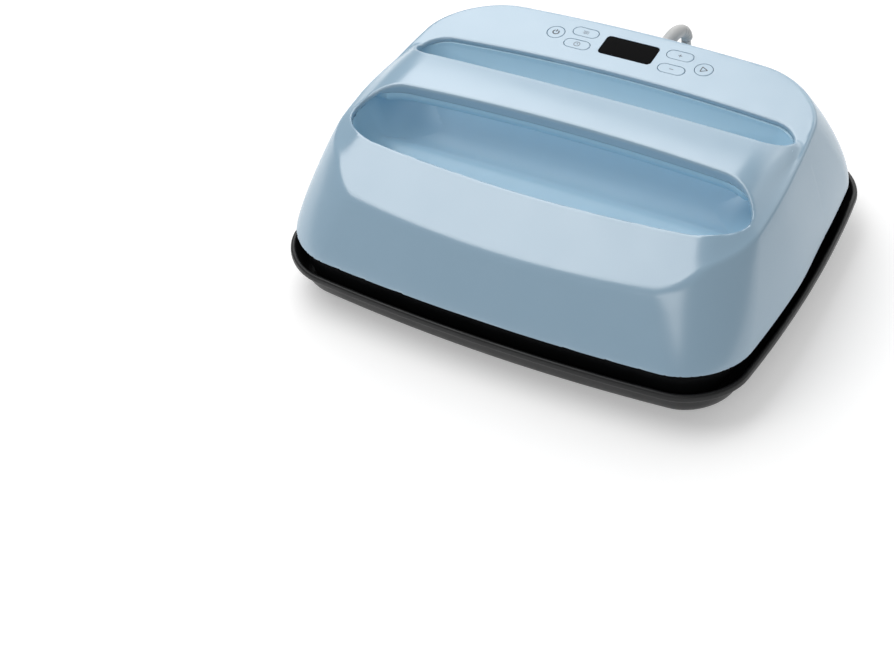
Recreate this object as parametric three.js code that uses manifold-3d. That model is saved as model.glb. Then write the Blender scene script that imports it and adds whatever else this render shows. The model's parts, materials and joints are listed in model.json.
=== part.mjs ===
// A hand-held flat-plate heat press standing in its safety base.
// Millimetres, +Z up. The origin is the centre of the base's footprint, on the surface it stands on.
import * as THREE from "three";
import { mergeVertices } from "three/addons/utils/BufferGeometryUtils.js";
import Module from "manifold-3d";

const wasm = await Module();
wasm.setup();

// Driving dimensions: the footprint of the base's rim and of the press's shell.
const BASE = { halfWidth: 175.2, halfDepth: 143.8, corner: 38.6, bulge: 9.7 };
const SHELL = { halfWidth: 169.3, halfDepth: 135.5, corner: 36, bulge: 10 };
const PLATE = { halfWidth: 152.5, halfDepth: 127, corner: 26, bulge: 6 };

// Heights above the surface.
const FOOT_HEIGHT = 3;
const TRAY_FLOOR_TOP = 8;
const RIM_TOP = 30.4;
const PLATE_BOTTOM = 12;
const PLATE_TOP = 21;
const SHELL_BOTTOM = 41.5;
const SHOULDER_START = 103;
const TOP = 119;

// Walls, sheets and clearances.
const SKIN = 2.6;
const CHASSIS_THICKNESS = 3;
const BOARD_THICKNESS = 1.6;
const GAP = 0.3;

// The two flat panels of the shell: height at y = 0, and rise per millimetre towards the rear.
const FRONT_PANEL = { height: 145, slope: 0.55 };
const REAR_PANEL = { height: 104.2, slope: 0.1, frontEdge: 32 };

// The two hand slots, with the handle between them, and the recess below both.
const FRONT_SLOT = { halfWidth: 144.5, front: -76, rear: -15.5, corner: 24, bulge: 7.5 };
const REAR_SLOT = { halfWidth: 140, front: 23, rear: 61, corner: 16, bulge: 2.5, sweep: 6 };
const RECESS = { halfWidth: 144, front: -76, rear: 61, corner: 26, bulge: 7.5 };
const LIP_WALL = 2.4;
const LIP_LEVEL = 107.5;
const HANDLE_PARTING = 110.7;
const HANDLE_UNDERSIDE = 101;
const RECESS_FLOOR = 64;
const RECESS_RISE = 21;

// Keys and display, laid out on the rear panel.
const PANEL_CENTRE_Y = 87;
const KEY_FLANGE_CLEARANCE = 0.4;
const KEY_FLANGE = 1.2;
const KEY_TRAVEL_ROOM = 1;
const DISPLAY = { halfWidth: 20, halfDepth: 9.8, corner: 3 };
const KEYS = [
  { name: "power_button", x: -57, y: 0, halfWidth: 6.4, halfDepth: 6.4 },
  { name: "start_button", x: 57, y: -1, halfWidth: 6.4, halfDepth: 6.4 },
  { name: "temperature_button", x: -36.5, y: 7, halfWidth: 9.8, halfDepth: 4.6 },
  { name: "timer_button", x: -37, y: -7, halfWidth: 9.8, halfDepth: 4.6 },
  { name: "plus_button", x: 36, y: 7, halfWidth: 9.8, halfDepth: 4.6 },
  { name: "minus_button", x: 36, y: -8.5, halfWidth: 9.8, halfDepth: 4.6 },
];

// Mains lead: a 7 mm cord that leaves the rear wall through a curved strain relief.
const CORD_RADIUS = 3.5;
// The relief leaves the wall at (x, y, z), rises by `heading` and leans to the right by `aside`
// degrees, runs straight for a while and then bends down.
const RELIEF = {
  x: 12, y: 116.5, z: 97.9, heading: 26, aside: 14, straight: 12.3, bend: 13, length: 36.8,
  holeRadius: 5, neckRadius: 4.2, flangeRadius: 6,
  root: 4.4, rootRadius: 6.2, sleeveRadius: 5.2, tipRadius: 4.3,
};
const COIL = { x: -48, y: 207, outer: 52, inner: 27.5, upper: 47.4 };

// Steps along each corner arc and along each side of an outline.
const CORNER_STEPS = 4;
const SIDE_STEPS = 3;

const radians = THREE.MathUtils.degToRad;
const clamp = THREE.MathUtils.clamp;

// ---------------------------------------------------------------- outlines and lofts

// A rounded rectangle, counter-clockwise from its front right corner. Its sides bulge
// outwards by `bulge`, and `sweep` draws its two ends towards the front.
function outline(size, cornerSteps = CORNER_STEPS, sideSteps = SIDE_STEPS) {
  const { halfWidth, front, rear, corner, bulge = 0, sweep = 0 } = size;
  const middle = (front + rear) / 2;
  const halfDepth = (rear - front) / 2;
  const arcs = [];
  for (let quarter = 0; quarter < 4; quarter += 1) {
    const sideX = quarter === 0 || quarter === 1 ? 1 : -1;
    const sideY = quarter === 1 || quarter === 2 ? 1 : -1;
    for (let step = 0; step <= cornerSteps; step += 1) {
      const angle = (Math.PI / 2) * (quarter - 1 + step / cornerSteps);
      const x = sideX * (halfWidth - corner) + corner * Math.cos(angle);
      const y = sideY * (halfDepth - corner) + corner * Math.sin(angle);
      arcs.push(new THREE.Vector2(x, y));
    }
  }
  const points = [];
  for (let i = 0; i < arcs.length; i += 1) {
    points.push(arcs[i]);
    const last = i % (cornerSteps + 1) === cornerSteps;
    const next = arcs[(i + 1) % arcs.length];
    for (let step = 1; last && step < sideSteps; step += 1) {
      points.push(arcs[i].clone().lerp(next, step / sideSteps));
    }
  }
  return points.map(({ x, y }) => {
    const s = x / halfWidth;
    const t = y / halfDepth;
    const outX = s * (halfWidth - bulge * t * t);
    const outY = t * (halfDepth - bulge * s * s);
    return new THREE.Vector2(outX, middle + outY - sweep * s * s);
  });
}

// The same outline, moved inwards by `inset` all round.
function insetOutline(size, inset, smallestCorner = 2) {
  return outline({
    ...size,
    halfWidth: size.halfWidth - inset,
    front: size.front + inset,
    rear: size.rear - inset,
    corner: Math.max(size.corner - inset, smallestCorner),
  });
}

// An outline centred on y = 0, given by its half depth.
function centred(size) {
  return { ...size, front: -size.halfDepth, rear: size.halfDepth };
}

// A ring of points at height z, where z is a number or a function of the point.
function ringAt(points, z) {
  return points.map((p) => new THREE.Vector3(p.x, p.y, typeof z === "function" ? z(p) : z));
}

function middleOf(ring) {
  const sum = ring.reduce((total, p) => total.add(p), new THREE.Vector3());
  return sum.divideScalar(ring.length);
}

// Joins rings of equal length with quads. With `loop` the last ring joins the first;
// otherwise both ends are closed by a fan.
function loft(rings, loop = false) {
  const count = rings[0].length;
  const positions = rings.flatMap((ring) => ring.flatMap((p) => [p.x, p.y, p.z]));
  const faces = [];
  const spans = loop ? rings.length : rings.length - 1;
  for (let level = 0; level < spans; level += 1) {
    const below = level * count;
    const above = ((level + 1) % rings.length) * count;
    for (let i = 0; i < count; i += 1) {
      const j = (i + 1) % count;
      faces.push(below + i, below + j, above + j);
      faces.push(below + i, above + j, above + i);
    }
  }
  if (!loop) {
    const bottom = middleOf(rings[0]);
    const top = middleOf(rings[rings.length - 1]);
    positions.push(bottom.x, bottom.y, bottom.z, top.x, top.y, top.z);
    const bottomIndex = rings.length * count;
    const lastRing = (rings.length - 1) * count;
    for (let i = 0; i < count; i += 1) {
      const j = (i + 1) % count;
      faces.push(bottomIndex, j, i);
      faces.push(bottomIndex + 1, lastRing + i, lastRing + j);
    }
  }
  const geometry = new THREE.BufferGeometry();
  geometry.setAttribute("position", new THREE.Float32BufferAttribute(positions, 3));
  geometry.setIndex(faces);
  return geometry;
}

// An upright prism of an outline between two heights.
function prism(points, low, high) {
  return loft([ringAt(points, low), ringAt(points, high)]);
}

// A flat ring with a hole: the outer and inner outlines between two heights.
function frame(outer, inner, low, high) {
  const rings = [ringAt(outer, low), ringAt(outer, high), ringAt(inner, high), ringAt(inner, low)];
  return loft(rings, true);
}

// A prism along X of a polygon of [y, z] points.
function prismAlongX(points, halfLength) {
  const shape = new THREE.Shape(points.map(([y, z]) => new THREE.Vector2(y, z)));
  const geometry = new THREE.ExtrudeGeometry(shape, { depth: 2 * halfLength, bevelEnabled: false });
  const toRow = new THREE.Matrix4().makeBasis(
    new THREE.Vector3(0, 1, 0),
    new THREE.Vector3(0, 0, 1),
    new THREE.Vector3(1, 0, 0),
  );
  geometry.applyMatrix4(toRow);
  return geometry.translate(-halfLength, 0, 0);
}

// A turned piece about Z from [radius, height] points that start and end on the axis.
function turned(points, sides) {
  const profile = points.map(([radius, height]) => new THREE.Vector2(radius, height));
  return new THREE.LatheGeometry(profile, sides).rotateX(Math.PI / 2);
}

function disc(radius, low, high, sides = 20) {
  return turned([[0, low], [radius, low], [radius, high], [0, high]], sides);
}

// ---------------------------------------------------------------- joining and cutting

function toSolid(geometry) {
  const bare = geometry.clone();
  bare.deleteAttribute("normal");
  bare.deleteAttribute("uv");
  const merged = mergeVertices(bare, 1e-4);
  const index = merged.index.array;
  const faces = [];
  for (let i = 0; i < index.length; i += 3) {
    const [a, b, c] = [index[i], index[i + 1], index[i + 2]];
    if (a !== b && b !== c && c !== a) {
      faces.push(a, b, c);
    }
  }
  const vertProperties = new Float32Array(merged.attributes.position.array);
  const triVerts = new Uint32Array(faces);
  return new wasm.Manifold(new wasm.Mesh({ numProp: 3, vertProperties, triVerts }));
}

function fromSolid(solid) {
  const mesh = solid.getMesh();
  const geometry = new THREE.BufferGeometry();
  const positions = new Float32Array(mesh.vertProperties);
  geometry.setAttribute("position", new THREE.BufferAttribute(positions, 3));
  geometry.setIndex(new THREE.BufferAttribute(new Uint32Array(mesh.triVerts), 1));
  return geometry;
}

function cut(solid, geometries) {
  return geometries.reduce((rest, geometry) => rest.subtract(toSolid(geometry)), solid);
}

// ---------------------------------------------------------------- materials

function plastic(color, roughness = 0.45) {
  return new THREE.MeshStandardMaterial({ color, roughness, metalness: 0 });
}

function metal(color, roughness = 0.4) {
  return new THREE.MeshStandardMaterial({ color, roughness, metalness: 1 });
}

const BLUE = () => plastic(0xb4d0e2, 0.42);
const BLACK = () => plastic(0x0b0b0c, 0.4);
const BOARD = () => plastic(0x1d5c38, 0.5);
const SILICONE = () => plastic(0x2b2b2d, 0.8);
const CORD_GREY = () => plastic(0xc4c4c4, 0.55);
const STEEL = () => metal(0xb9bcc0, 0.35);
const ALUMINIUM = () => metal(0xc8ccd0, 0.38);

const press = new THREE.Group();

function add(name, geometry, material, parent = press) {
  const mesh = new THREE.Mesh(geometry, material);
  mesh.name = name;
  parent.add(mesh);
  return mesh;
}

// ---------------------------------------------------------------- safety base

// The tray: its outer wall rises from a flat floor and tucks out under a flanged rim; inside,
// a hollow curve runs back down to the floor. Each row is inset from the rim, then height.
function baseTray() {
  const profile = [
    [19, FOOT_HEIGHT + GAP], [13, 5], [8.5, 11], [6, 19], [5, 24.6], [0.7, 25], [0, 26.5],
    [0.4, 29.6], [1.6, RIM_TOP], [3.4, 30], [5, 26], [7.4, 20], [9.6, 13], [13, 9.2],
    [17, TRAY_FLOOR_TOP],
  ];
  return loft(profile.map(([inset, z]) => ringAt(insetOutline(centred(BASE), inset), z)));
}

function safetyBase() {
  add("base_tray", baseTray(), BLACK());
  const sheet = outline({ halfWidth: 118, front: -92, rear: 92, corner: 14 });
  const sheetLow = TRAY_FLOOR_TOP + GAP;
  add("base_insulation_sheet", prism(sheet, sheetLow, sheetLow + 1.2), ALUMINIUM());
  const padProfile = [[0, sheetLow], [9, sheetLow], [9, PLATE_BOTTOM - 0.8]];
  padProfile.push([8.2, PLATE_BOTTOM - GAP], [0, PLATE_BOTTOM - GAP]);
  const footProfile = [[0, 0], [9, 0], [10, 0.8], [10, FOOT_HEIGHT], [0, FOOT_HEIGHT]];
  for (const [end, sideY] of [["front", -1], ["rear", 1]]) {
    for (const [side, sideX] of [["left", -1], ["right", 1]]) {
      const pad = add(`base_pad_${end}_${side}`, turned(padProfile, 18), SILICONE());
      pad.position.set(sideX * 128, sideY * 99, 0);
      const foot = add(`base_foot_${end}_${side}`, turned(footProfile, 18), SILICONE());
      foot.position.set(sideX * 125, sideY * 95, 0);
    }
  }
}

// ---------------------------------------------------------------- shell of the press

// Section of the dome at height z. Walls lean in as they rise, and above the shoulder the two
// sides close in along an ellipse to the crown of the handle.
function domeSection(z) {
  const u = (z - SHELL_BOTTOM) / 70;
  const wall = (height) => SHELL.halfWidth - 20.5 * Math.pow((height - SHELL_BOTTOM) / 70, 1.35);
  let halfWidth = wall(Math.min(z, SHOULDER_START));
  if (z > SHOULDER_START) {
    const rise = Math.min((z - SHOULDER_START) / (TOP - SHOULDER_START), 1);
    const crown = 118;
    halfWidth = crown + (halfWidth - crown) * Math.sqrt(1 - rise * rise);
  }
  return {
    halfWidth,
    front: -(SHELL.halfDepth - 41 * Math.pow(u, 1.1)),
    rear: SHELL.halfDepth - 24.6 * Math.pow(u, 1.6),
    corner: SHELL.corner + 10 * u,
    bulge: SHELL.bulge - u,
  };
}

const DOME_LEVELS = [SHELL_BOTTOM, 47, 56, 66, 77, 88, 96, SHOULDER_START, 108, 112, 115.5, 118, TOP];

function dome(thickness) {
  const drop = thickness > 0 ? 6 : 0;
  const levels = DOME_LEVELS.map((z) => z - thickness);
  levels[0] = SHELL_BOTTOM - drop;
  return loft(levels.map((z, i) => {
    const section = domeSection(Math.max(DOME_LEVELS[i], SHELL_BOTTOM));
    return ringAt(insetOutline(section, thickness, 8), z);
  }));
}

// Everything above the two panels, each lowered by `drop`.
function panelCuts(drop) {
  const front = (y) => FRONT_PANEL.height + FRONT_PANEL.slope * y - drop;
  const rear = (y) => REAR_PANEL.height + REAR_PANEL.slope * y - drop;
  const high = TOP + 60;
  const edge = REAR_PANEL.frontEdge - drop;
  const far = 170;
  const overFront = [[-far, front(-far)], [0, front(0)], [0, high], [-far, high]];
  const overRear = [[edge, rear(edge)], [far, rear(far)], [far, high], [edge, high]];
  return [prismAlongX(overFront, 200), prismAlongX(overRear, 200)];
}

// How far the lip and the recess's rim dip below their level towards the front of the front slot.
function frontDrop(y) {
  return 7.5 * Math.pow(clamp((-40 - y) / 36, 0, 1), 2);
}

// Lower edge of the lip that hangs down round each slot.
function lipLevel(y) {
  const towardsHandle = Math.max(clamp((y + 34) / 12, 0, 1) * (y < 4), clamp((30 - y) / 6, 0, 1) * (y >= 4));
  return LIP_LEVEL - frontDrop(y) + (HANDLE_PARTING - LIP_LEVEL) * towardsHandle;
}

function slotLip(slot) {
  const inner = insetOutline(slot, -0.2);
  const outer = insetOutline(slot, -LIP_WALL);
  const level = (p) => lipLevel(p.y);
  const high = TOP + 5;
  return loft([ringAt(outer, level), ringAt(outer, high), ringAt(inner, high), ringAt(inner, level)], true);
}

// The rear panel's own frame: origin on its surface at the middle of the keys, +Z outwards.
function panelFrame() {
  const group = new THREE.Group();
  group.position.set(0, PANEL_CENTRE_Y, REAR_PANEL.height + REAR_PANEL.slope * PANEL_CENTRE_Y);
  group.rotation.x = Math.atan(REAR_PANEL.slope);
  group.updateMatrix();
  return group;
}

function keyOutline(key, grow = 0) {
  const halfWidth = key.halfWidth + grow;
  const halfDepth = key.halfDepth + grow;
  const corner = key.corner ?? Math.min(halfWidth, halfDepth) - 0.01;
  return outline({ halfWidth, front: -halfDepth, rear: halfDepth, corner }, 4, 1);
}

function keyHoles(matrix) {
  const holes = KEYS.map((key) => prism(keyOutline(key, GAP), -8, 8).translate(key.x, key.y, 0));
  holes.push(prism(keyOutline(DISPLAY, GAP), -8, 8));
  return holes.map((hole) => hole.applyMatrix4(matrix));
}

function reliefHole() {
  const along = alongRelief(0).direction;
  const middle = alongRelief(1).point;
  const hole = new THREE.CylinderGeometry(RELIEF.holeRadius, RELIEF.holeRadius, 24, 20);
  const turn = new THREE.Quaternion().setFromUnitVectors(new THREE.Vector3(0, 1, 0), along);
  return hole.applyQuaternion(turn).translate(middle.x, middle.y, middle.z);
}

function topHousing(panelMatrix) {
  const outer = cut(toSolid(dome(0)), panelCuts(0));
  const inner = cut(toSolid(dome(SKIN)), panelCuts(SKIN));
  const slots = [FRONT_SLOT, REAR_SLOT];
  const lips = slots.map((slot) => outer.intersect(toSolid(slotLip(slot))));
  const skin = lips.reduce((solid, lip) => solid.add(lip), outer.subtract(inner));
  const slotCuts = slots.map((slot) => prism(outline(slot), RECESS_FLOOR + 20, TOP + 20));
  return fromSolid(cut(skin, [...slotCuts, ...keyHoles(panelMatrix), reliefHole()]));
}

// The recess: a thin scoop whose floor rises towards the rear under the handle.
function recessTub() {
  const floor = (y) => RECESS_FLOOR + RECESS_RISE * Math.pow(clamp((y + 46) / 96, 0, 1), 1.5);
  const underRearPanel = (y) => REAR_PANEL.height + REAR_PANEL.slope * y - SKIN - 0.4;
  const rim = (y) => {
    return Math.min(LIP_LEVEL - GAP - frontDrop(y), underRearPanel(y) + Math.max(26 - y, 0));
  };
  const insets = [0, 1.2, 3.5, 7, 12, 19, 28, 46];
  const ring = (inset, out, down) => {
    const share = Math.pow(Math.max(1 - inset / 30, 0), 2.6);
    const inner = insetOutline(RECESS, inset, 12);
    const place = insetOutline(RECESS, inset - out, 12);
    return place.map((p, i) => {
      const y = inner[i].y;
      const z = floor(y) + (rim(y) - floor(y)) * share;
      return new THREE.Vector3(p.x, p.y, z - down);
    });
  };
  const outside = [...insets].reverse().map((inset) => ring(inset, LIP_WALL, 2));
  const inside = insets.map((inset) => ring(inset, 0, 0));
  return loft([...outside, ...inside]);
}

// The lower half of the grip: an open channel under the handle.
function handleLiner() {
  const grip = { halfWidth: 137, front: -15.4, rear: 22.8, corner: 7, bulge: 0, sweep: 5.5 };
  const top = HANDLE_PARTING - GAP;
  const profile = [
    [5, HANDLE_UNDERSIDE], [1.6, HANDLE_UNDERSIDE + 0.9], [0.3, HANDLE_UNDERSIDE + 3.5], [0, top],
    [2.2, top], [2.6, HANDLE_UNDERSIDE + 4.5], [5, HANDLE_UNDERSIDE + 2.2],
  ];
  return loft(profile.map(([inset, z]) => ringAt(insetOutline(grip, inset), z)));
}

// The black shroud between the shell and the heat plate, with an inward flange at its top.
function lowerShroud(screwHoles) {
  const profile = [
    [156.2, 130.4, 15], [158.4, 131, 19], [163, 132.4, 28], [166, 133.4, 36], [168.3, 134.5, 38.6],
    [168.5, 134.7, SHELL_BOTTOM - GAP], [152, 118, SHELL_BOTTOM - GAP], [152, 118, 39.2],
    [162.6, 129.6, 39], [161, 130.2, 28], [156.3, 128.9, 19], [154.2, 128.6, 15],
  ];
  const ring = ([halfWidth, halfDepth, z]) => {
    const share = (z - 15) / 26;
    const size = { halfWidth, halfDepth, corner: 27 + 8 * share, bulge: 6 + 3.5 * share };
    return ringAt(outline(centred(size)), z);
  };
  return fromSolid(cut(toSolid(loft(profile.map(ring), true)), screwHoles));
}

function shellOfPress(panel, screwHoles) {
  add("top_housing", topHousing(panel.matrix), BLUE());
  add("handle_liner", handleLiner(), BLUE());
  add("recess_tub", recessTub(), BLUE());
  add("lower_shroud", lowerShroud(screwHoles), BLACK());
}

// ---------------------------------------------------------------- inside the press

function chassisFrame(screwHoles) {
  const outer = insetOutline(centred(SHELL), 6);
  const opening = outline({ halfWidth: 116, front: -100, rear: 50, corner: 20 });
  return fromSolid(cut(toSolid(frame(outer, opening, SHELL_BOTTOM, SHELL_BOTTOM + CHASSIS_THICKNESS)), screwHoles));
}

// One tube that runs back and forth over the plate.
function heatingElement(radius, z) {
  const passes = 5;
  const pitch = 40;
  const reach = 90;
  const points = [];
  for (let pass = 0; pass < passes; pass += 1) {
    const y = (pass - (passes - 1) / 2) * pitch;
    const heading = pass % 2 === 0 ? 1 : -1;
    for (const share of [-1, -0.5, 0, 0.5, 1]) {
      points.push(new THREE.Vector3(heading * share * reach, y, z));
    }
    for (let step = 1; step < 6 && pass < passes - 1; step += 1) {
      const angle = (Math.PI * step) / 6;
      const x = heading * (reach + (pitch / 2) * Math.sin(angle));
      points.push(new THREE.Vector3(x, y + (pitch / 2) * (1 - Math.cos(angle)), z));
    }
  }
  return tubeAlong(points, radius, 56, 4);
}

// A round tube through points, closed at both ends.
function tubeAlong(points, radius, steps, sides) {
  const shape = new THREE.Shape();
  shape.absarc(0, 0, radius, 0, 2 * Math.PI);
  const extrudePath = new THREE.CatmullRomCurve3(points, false, "centripetal");
  return new THREE.ExtrudeGeometry(shape, { steps, extrudePath, curveSegments: sides });
}

function chassis(screwHoles) {
  add("chassis_frame", chassisFrame(screwHoles), BLACK());
}

function heatStack() {
  const plate = centred(PLATE);
  const plateRings = [[1.2, PLATE_BOTTOM], [0, PLATE_BOTTOM + 1.2], [0, PLATE_TOP]];
  const plateLoft = loft(plateRings.map(([inset, z]) => ringAt(insetOutline(plate, inset), z)));
  add("heat_plate", plateLoft, metal(0x3a3a3c, 0.45));
  const elementRadius = 3.2;
  const elementLow = PLATE_TOP + GAP;
  add("heating_element", heatingElement(elementRadius, elementLow + elementRadius), STEEL());
  const coverLow = elementLow + 2 * elementRadius + 0.4;
  const cover = outline({ halfWidth: 117, front: -89, rear: 89, corner: 12 });
  add("element_cover", prism(cover, coverLow, coverLow + 1), STEEL());
  const blanketLow = coverLow + 1 + GAP;
  const blanketTop = 37.2;
  const blanket = outline({ halfWidth: 115, front: -87, rear: 87, corner: 12 });
  const window = outline({ halfWidth: 62, front: -26, rear: 26, corner: 6 });
  add("insulation_blanket", frame(blanket, window, blanketLow, blanketTop), plastic(0xe8e4da, 0.95));
  const shield = outline({ halfWidth: 116, front: -88, rear: 88, corner: 12 });
  add("heat_shield", prism(shield, blanketTop + GAP, blanketTop + GAP + 0.8), ALUMINIUM());
  const thermostat = turned([[0, 0], [11, 0], [11, 1], [7.5, 1], [7.5, 5.5], [4, 6.4], [0, 6.4]], 20);
  add("thermostat", thermostat, STEEL()).position.set(-36, 0, blanketLow);
  const fuse = turned([[0, -11], [1.5, -11], [3, -9], [3, 9], [1.5, 11], [0, 11]], 12);
  const fuseMesh = add("thermal_fuse", fuse, plastic(0xd9c9a0, 0.5));
  fuseMesh.rotation.y = Math.PI / 2;
  fuseMesh.position.set(28, 10, blanketLow + 3);
  const sensor = turned([[0, -8], [2.2, -8], [2.2, 6], [0, 8]], 12);
  const sensorMesh = add("temperature_sensor", sensor, STEEL());
  sensorMesh.rotation.y = Math.PI / 2;
  sensorMesh.position.set(28, -10, blanketLow + 2.3);
}

function standoffs() {
  const low = PLATE_TOP + GAP;
  const high = SHELL_BOTTOM - GAP;
  const profile = [[0, low], [7, low], [7, low + 2], [4, low + 4], [4, high], [0, high]];
  for (const [end, sideY] of [["front", -1], ["rear", 1]]) {
    for (const [side, sideX] of [["left", -1], ["right", 1]]) {
      const piece = add(`plate_standoff_${end}_${side}`, turned(profile, 14), STEEL());
      piece.position.set(sideX * 126, sideY * 97, 0);
    }
  }
}

function box(width, depth, low, high) {
  return new THREE.BoxGeometry(width, depth, high - low).translate(0, 0, (low + high) / 2);
}

function electronics() {
  const deck = SHELL_BOTTOM + CHASSIS_THICKNESS + GAP;
  const boardTop = deck + BOARD_THICKNESS;
  const top = boardTop + GAP;
  add("power_board", box(150, 56, deck, boardTop), BOARD()).position.set(0, 94, 0);
  add("relay", box(20, 16, top, top + 16), plastic(0x2a4f8f, 0.4)).position.set(-48, 96, 0);
  add("transformer", box(34, 26, top, top + 22), plastic(0xcaa43c, 0.5)).position.set(24, 90, 0);
  const buzzer = turned([[0, top], [6, top], [6, top + 7], [2, top + 8], [0, top + 8]], 16);
  add("buzzer", buzzer, plastic(0x18181a, 0.5)).position.set(58, 98, 0);
  add("terminal_block", box(24, 12, top, top + 13), plastic(0x2f7a46, 0.5)).position.set(-14, 112, 0);
  add("cord_clamp", box(20, 9, 84, 91), BLACK()).position.set(RELIEF.x, 100, 0);
}

function screws(spots) {
  const low = 33;
  const seat = SHELL_BOTTOM + CHASSIS_THICKNESS + GAP;
  const profile = [[0, low], [1.5, low + 2], [1.5, seat], [3.6, seat], [3.6, seat + 1.6], [2.4, seat + 2.4]];
  profile.push([0, seat + 2.4]);
  const names = ["front_right", "rear_right", "rear_left", "front_left"];
  spots.forEach((spot, i) => {
    add(`shroud_screw_${names[i]}`, turned(profile, 12), STEEL()).position.set(spot.x, spot.y, 0);
  });
}

// ---------------------------------------------------------------- keys and display

function keyCap(key) {
  const flangeTop = -SKIN - KEY_FLANGE_CLEARANCE;
  const flange = keyOutline(key, 1.2);
  const neck = keyOutline(key);
  const top = keyOutline(key, -0.3);
  const rings = [
    ringAt(flange, flangeTop - KEY_FLANGE), ringAt(flange, flangeTop), ringAt(neck, flangeTop),
    ringAt(neck, -0.15), ringAt(top, 0.1),
  ];
  return loft(rings);
}

function controlPanel(panel) {
  const switchTop = -SKIN - KEY_FLANGE_CLEARANCE - KEY_FLANGE - KEY_TRAVEL_ROOM;
  const switchHeight = 3.5;
  const boardTop = switchTop - switchHeight - GAP;
  add("control_board", box(146, 31, boardTop - BOARD_THICKNESS, boardTop), BOARD(), panel).position.set(0, -1.5, 0);
  for (const key of KEYS) {
    const cap = add(key.name, keyCap(key), BLUE(), panel);
    cap.position.set(key.x, key.y, 0);
    const name = key.name.replace("button", "switch");
    const profile = [
      [0, switchTop - switchHeight], [3.4, switchTop - switchHeight], [3.4, switchTop - 0.7],
      [1.7, switchTop - 0.7], [1.7, switchTop], [0, switchTop],
    ];
    const keySwitch = add(name, turned(profile, 12), plastic(0x202022, 0.5), panel);
    keySwitch.position.set(key.x, key.y, 0);
  }
  const module = box(46, 25, boardTop + GAP, -SKIN - GAP);
  add("display_module", module, plastic(0x151517, 0.4), panel);
  const lens = prism(keyOutline(DISPLAY), -SKIN + 0.1, 0.05);
  add("display_lens", lens, plastic(0x030304, 0.08), panel);
}

// ---------------------------------------------------------------- mains lead

// A round ring of points square to the direction that the path has there.
function sectionAcross(point, direction, radius, sides) {
  const side = new THREE.Vector3(0, 0, 1).cross(direction).negate().normalize();
  const up = new THREE.Vector3().crossVectors(direction, side);
  const ring = [];
  for (let i = 0; i < sides; i += 1) {
    const angle = (2 * Math.PI * i) / sides;
    const out = side.clone().multiplyScalar(Math.cos(angle)).addScaledVector(up, Math.sin(angle));
    ring.push(point.clone().addScaledVector(out, radius));
  }
  return ring;
}

// Point and direction at a distance along the strain relief, measured from the middle of the wall.
function alongRelief(distance) {
  const start = radians(RELIEF.heading);
  const aside = radians(RELIEF.aside);
  const straight = Math.min(distance, RELIEF.straight);
  const heading = start - (distance - straight) / RELIEF.bend;
  const out = straight * Math.cos(start) + RELIEF.bend * (Math.sin(start) - Math.sin(heading));
  const up = straight * Math.sin(start) + RELIEF.bend * (Math.cos(heading) - Math.cos(start));
  const inPlan = new THREE.Vector3(Math.sin(aside), Math.cos(aside), 0);
  return {
    point: new THREE.Vector3(RELIEF.x, RELIEF.y, RELIEF.z + up).addScaledVector(inPlan, out),
    direction: inPlan.multiplyScalar(Math.cos(heading)).setZ(Math.sin(heading)),
  };
}

// A flange inside the wall, a neck through it, and a tapered sleeve outside.
function strainRelief() {
  const { root, neckRadius, flangeRadius, rootRadius, sleeveRadius, tipRadius, length } = RELIEF;
  const sleeveStart = root + 3;
  const profile = [
    [-root - 1.8, flangeRadius], [-root, flangeRadius], [-root, neckRadius], [root, neckRadius],
    [root, rootRadius], [sleeveStart, rootRadius],
  ];
  const steps = 9;
  for (let step = 0; step <= steps; step += 1) {
    const share = step / steps;
    const distance = sleeveStart + 0.5 + (length - sleeveStart - 0.5) * share;
    profile.push([distance, sleeveRadius + (tipRadius - sleeveRadius) * share]);
  }
  return loft(profile.map(([distance, radius]) => {
    const { point, direction } = alongRelief(distance);
    return sectionAcross(point, direction, radius, 16);
  }));
}

// The cord's free stretches, as points in the row frame. Between them it is wound in a coil.
const EXIT_TO_COIL = [
  [18.95, 144.35, 92.7], [19.15, 145.05, 87.8], [19.35, 145.8, 82.9], [19.6, 147, 74.5],
  [19.8, 148.2, 65], [19.9, 149.3, 55.5], [20, 150.2, 47.5], [19.9, 150.9, 40], [18.8, 151.5, 30.6],
  [15.2, 152.1, 21.8], [9.5, 152.8, 14.3], [2, 153.4, 8.5], [-6.8, 154, 4.9], [-16.2, 154.5, 3.6],
];
const COIL_TO_PLUG = [[-103.4, 184.3, 10.4], [-113.5, 190.15, 10.2], [-123.7, 196, 10.05]];
const PLUG = { x: -123.9, y: 196.2, z: 10.05, heading: 150 };

function vectors(points) {
  return points.map(([x, y, z]) => new THREE.Vector3(x, y, z));
}

function cordCoil() {
  const low = 0.05;
  const high = 14.1;
  const outer = COIL.outer + CORD_RADIUS;
  const inner = COIL.inner - CORD_RADIUS;
  const upper = COIL.upper + CORD_RADIUS;
  return turned([[inner, low], [outer, low], [outer, 7], [upper, high], [inner, high], [inner, low]], 40);
}

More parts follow.
